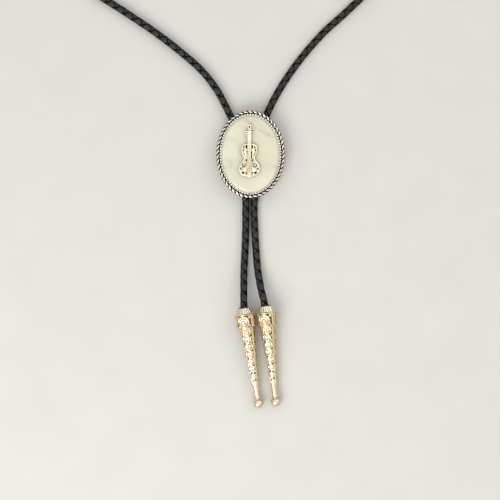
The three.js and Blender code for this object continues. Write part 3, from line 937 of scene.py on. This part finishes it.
def scrollwork(angle, down, radius, unit_length):
    """The height of the chased scrollwork, 0 in its ground to 1 on its ridges. unit_length is
    the length of tip that one scroll and its leaf take."""
    panel = (angle / TURN * TIP_PANELS + 0.5) % 1 - 0.5  # -0.5 to 0.5 across a panel
    width = TURN * radius / TIP_PANELS
    across = panel * width
    border = ridge(0.5 - np.abs(panel), 0.13)

    centre = (SHOULDER[0] + SHOULDER[1]) / 2 + 0.6
    big = ridge(spiral(across + 0.3, down - centre, 2.75, 1.25, 1), 0.48)
    knob = ridge(np.hypot(np.abs(across) - 3.3, down - SHOULDER[0] - 1.2), 0.8)
    leaf = ridge(np.abs((np.abs(across) - 2.9) - 0.45 * (down - SHOULDER[1] + 1.2)), 0.34)
    lower = np.clip((down - SHOULDER[1] + 2.0) / 0.5, 0, 1)
    shoulder = np.maximum.reduce([big, knob, leaf * lower, border])

    number = np.floor((down - CONE[0]) / unit_length)
    way = np.where(number % 2 == 0, 1.0, -1.0)
    middle = CONE[0] + (number + 0.5) * unit_length
    curl = np.clip(0.3 * width, 0.1, 1.85)
    small = ridge(spiral(across - 0.07 * width * way, down - middle, curl, curl / 1.55, way),
                  0.22 * curl + 0.08)
    stem = ridge(np.abs(across + 0.25 * width * way * np.cos((down - middle) / unit_length
                                                             * math.pi)), 0.34)
    seed = ridge(np.hypot(across + 0.3 * width * way, down - middle + 1.1), 0.5)
    blade = ridge(np.abs(across + 0.28 * width * way - 0.35 * (down - middle - 0.9)), 0.3)
    blade = blade * (np.abs(down - middle - 0.9) < 0.9)
    cone = np.maximum.reduce([small, stem * 0.9, seed, blade, border])

    on_shoulder = (down > SHOULDER[0]) & (down < SHOULDER[1])
    on_cone = (down > CONE[0]) & (down < CONE[1])
    return np.where(on_shoulder, shoulder, np.where(on_cone, cone, PLAIN_HEIGHT))


def faded(value, band, soft):
    """1 inside a band and 0 outside, with soft ends."""
    return np.clip(np.minimum(value - band[0], band[1] - value) / soft, 0, 1)


def tip(name, place_at, settings):
    """One tip: turned by a spin of its outline, then fluted and chased."""
    outline = tip_profile()
    points = np.array([(radius, TIP_LENGTH - down, 0) for down, radius in outline]) * MM
    body = mesh_piece(name, points, [(at, at + 1) for at in range(len(points) - 1)])
    edit(body)
    bpy.ops.mesh.spin(steps=TIP_SIDES, angle=TURN, center=(0, 0, 0), axis=(0, 1, 0))
    close_edit(0.01 * MM)

    spots = spots_of(body) / MM
    radius = np.hypot(spots[:, 0], spots[:, 2])
    x, y, lean, pattern = place_at
    angle = np.arctan2(spots[:, 0], spots[:, 2]) - math.radians(pattern)
    down = TIP_LENGTH - spots[:, 1]
    outside = radius > np.interp(down, *BORE, right=0.0)
    flute = 0.5 + 0.5 * np.cos(settings.flutes * angle)
    chased = scrollwork(angle, down, radius, settings.leaf_length / MM)
    height = np.where(down < SHOULDER[0] - 0.4, flute, chased)
    strength = (faded(down, COLLAR, 0.3) * 0.8 + faded(down, SHOULDER, 0.2)
                + faded(down, CONE, 0.6))
    lift = np.where(outside, (height - MEAN_HEIGHT) * strength * settings.relief / MM, 0)
    scale = 1 + lift / np.maximum(radius, 0.5)
    spots[:, 0] *= scale
    spots[:, 2] *= scale
    body.data.vertices.foreach_set("co", (spots * MM).reshape(-1))
    body.data.update()
    high = np.where(outside, height * strength + 0.7 * (1 - strength), 0.15)
    shade_value(body, "high", np.clip(high, 0, 1))
    warm = np.interp(down, (SHOULDER[0] - 0.4, SHOULDER[0] - 0.2, *CONE), (0.3, 1, 1, 0.8))
    shade_value(body, "warm", warm)

    pitch = math.asin((FLANGE[1] - BALL) / (TIP_LENGTH - FLANGE[0]))
    body.rotation_euler = (pitch, 0, math.radians(lean))
    body.location = (x, y, BALL * MM + TABLE_GAP)
    return smooth(settle(body), 60)


# ---- The operators ----

VIEW_CENTRE = (-0.26 * MM, -50.1 * MM)
VIEW_LEVEL = 6 * MM  # height at which the view's width is measured
LIT_SPOT = Vector((0, -0.03, 0))
TABLE_TOP = -0.02 * MM
LAMPS = (  # name, place, size in metres and power in watts
    ("soft window", (-0.35, -0.6, 0.6), 0.5, 4.0),
    ("fill board", (0.6, 0.35, 0.55), 0.4, 0.8),
)


class BOLO_OT_stage(Operator):
    """Makes the table, the lights and the camera."""
    bl_idname = "bolo.stage"
    bl_label = "Stage"

    def execute(self, context):
        settings = context.scene.bolo_stage
        lens = bpy.data.cameras.new("camera")
        camera = new_object("camera", lens)
        camera.location = (*VIEW_CENTRE, settings.view_height)
        distance = settings.view_height - VIEW_LEVEL
        lens.lens = lens.sensor_width * distance / settings.view_width
        context.scene.camera = camera
        table = add(bpy.ops.mesh.primitive_plane_add, size=6, location=(0, 0, TABLE_TOP))
        table.name = table.data.name = "table"
        settle(table)
        table.data.materials.append(table_material(tuple(settings.floor)))
        for name, place_at, size, power in LAMPS:
            lamp = bpy.data.lights.new(name, "AREA")
            lamp.energy = power
            lamp.size = size
            light = new_object(name, lamp)
            light.location = place_at
            aim = LIT_SPOT - light.location
            light.rotation_euler = aim.to_track_quat("-Z", "Y").to_euler()
        context.scene.world = tent()
        context.scene.view_settings.view_transform = "Standard"
        return {"FINISHED"}


# Shares of a route and the angle from straight up at which a column of crossings lies there
LOOP_FACING = ((0, 0), (0.12, -30), (0.87, -63), (1, -40))
TAIL_FACING = ((0, -42), (1, -12))


class BOLO_OT_cord(Operator):
    """Braids the neck loop and the two tails."""
    bl_idname = "bolo.cord"
    bl_label = "Cord"

    def execute(self, context):
        settings = context.scene.bolo_cord
        leather = leather_material(tuple(settings.colour))
        loop = braid("neck_braid", LOOP_ROUTE, LOOP_FACING, settings)[0]
        place(loop, leather, "neck_loop")
        for side, route in (("left", LEFT_ROUTE), ("right", RIGHT_ROUTE)):
            tail, line = braid(f"tail_braid_{side}", route, TAIL_FACING, settings)
            place(tail, leather, f"tail_{side}")
        return {"FINISHED"}


class BOLO_OT_setting(Operator):
    """Makes the slide's tray, bead rim and rope edge, soldered together."""
    bl_idname = "bolo.setting"
    bl_label = "Setting"

    def execute(self, context):
        settings = context.scene.bolo_slide
        parts = [
            tray(1.8 * BEAD_RADIUS),
            rope_edge(settings.rope_strands, (SETTING_HIGH.z - SETTING_LOW.z) / 2),
            bead_rim(settings.beads, BEZEL_GAP + LIP + BEAD_RADIUS,
                     SETTING_HIGH.z - BEAD_RADIUS),
        ]
        # Black and stained low down: the silver's oxide and painted shade
        finish = ((0.1, linear("#080605")), (0.35, linear("#6b6258")),
                  (0.55, tuple(settings.silver)))
        silver = plated_material("oxidised silver plate", finish, (0.14, 0.28))
        place(smooth(join(parts, "rope_setting"), 50), silver, "bezel_setting")
        return {"FINISHED"}


class BOLO_OT_stone(Operator):
    """Cuts the mother-of-pearl cabochon."""
    bl_idname = "bolo.stone"
    bl_label = "Stone"

    def execute(self, context):
        pearl = pearl_material(tuple(context.scene.bolo_slide.pearl))
        place(stone(), pearl, "pearl_stone")
        return {"FINISHED"}


class BOLO_OT_violin(Operator):
    """Builds the violin on the stone, cast in one with its scrolls and pegs."""
    bl_idname = "bolo.violin"
    bl_label = "Violin"

    def execute(self, context):
        face = VIOLIN_LOW.z + 0.95 * MM
        parts = body_parts(VIOLIN_LOW.z, face) + neck_parts(face, VIOLIN_HIGH.z)
        violin = join(parts, "pierced_violin")
        across, up, height = ((spots_of(violin) - (VIOLIN_X, 0, face)) / MM).T
        # Colour by height: black below the plate's face, mid on it, bright on the raised parts;
        # the black is oxide and painted shade, in the openings and at the foot of the raised
        # wires and beads
        shade_value(violin, "high",
                    np.interp(height, (-0.5, -0.1, 0.0, 0.14), (0, 0.1, 0.42, 1)))
        # Warmest on the tailpiece, and only near the axis
        warm = np.clip(1 - np.abs(up + 8.2) / 3.5, 0, 1)
        shade_value(violin, "warm", np.where(np.abs(across) < 1.3, warm, 0.0))
        finish = ((0.06, linear("#0c0905")), (0.3, linear("#8f8468")),
                  (0.55, tuple(context.scene.bolo_slide.violin)))
        casting = plated_material("antiqued pale silver casting", finish, (0.22, 0.38),
                                  "#cfbfa6")
        place(smooth(violin, 40), casting, "violin_motif")
        return {"FINISHED"}


class BOLO_OT_tips(Operator):
    """Turns and chases the two tips."""
    bl_idname = "bolo.tips"
    bl_label = "Tips"

    def execute(self, context):
        settings = context.scene.bolo_tip
        finish = ((0.0, linear("#6b5b45")), (0.2, linear("#baad90")),
                  (0.45, tuple(settings.metal)))
        plate = plated_material("chased champagne silver plate", finish, (0.2, 0.38), "#f3e1c4")
        for side, place_at in TIP_PLACES.items():
            body = tip(f"chased_tip_{side}", place_at, settings)
            place(body, plate, f"tip_{side}")
        return {"FINISHED"}


class BOLO_OT_clasp(Operator):
    """Gives the clasp behind the slide its steel finish."""
    bl_idname = "bolo.clasp"
    bl_label = "Clasp"

    def execute(self, context):
        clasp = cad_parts["cord_clasp"]
        clasp.data.materials.clear()
        clasp.data.materials.append(steel_material())
        return {"FINISHED"}


class BOLO_PT_panel(Panel):
    """Lists the pieces of the bolo tie."""
    bl_label = "Bolo tie"
    bl_idname = "BOLO_PT_panel"
    bl_space_type = "VIEW_3D"
    bl_region_type = "UI"
    bl_category = "Bolo tie"

    def draw(self, context):
        for operator in OPERATORS:
            self.layout.operator(operator.bl_idname)


OPERATORS = (BOLO_OT_stage, BOLO_OT_tips, BOLO_OT_cord, BOLO_OT_setting, BOLO_OT_stone,
             BOLO_OT_violin, BOLO_OT_clasp)
SETTINGS = {"bolo_stage": StageSettings, "bolo_cord": CordSettings,
            "bolo_slide": SlideSettings, "bolo_tip": TipSettings}


def register():
    """Registers the settings, the operators and the panel."""
    for group in SETTINGS.values():
        bpy.utils.register_class(group)
    for name, group in SETTINGS.items():
        setattr(bpy.types.Scene, name, PointerProperty(type=group))
    for operator in OPERATORS:
        bpy.utils.register_class(operator)
    bpy.utils.register_class(BOLO_PT_panel)


def unregister():
    """Takes them away again in the opposite order."""
    bpy.utils.unregister_class(BOLO_PT_panel)
    for operator in reversed(OPERATORS):
        bpy.utils.unregister_class(operator)
    for name in SETTINGS:
        delattr(bpy.types.Scene, name)
    for group in reversed(SETTINGS.values()):
        bpy.utils.unregister_class(group)


def main():
    """Makes the bolo tie on its table."""
    register()
    bpy.ops.bolo.stage()
    bpy.ops.bolo.tips()
    bpy.ops.bolo.cord()
    bpy.ops.bolo.setting()
    bpy.ops.bolo.stone()
    bpy.ops.bolo.violin()
    bpy.ops.bolo.clasp()


if __name__ == "__main__":
    main()
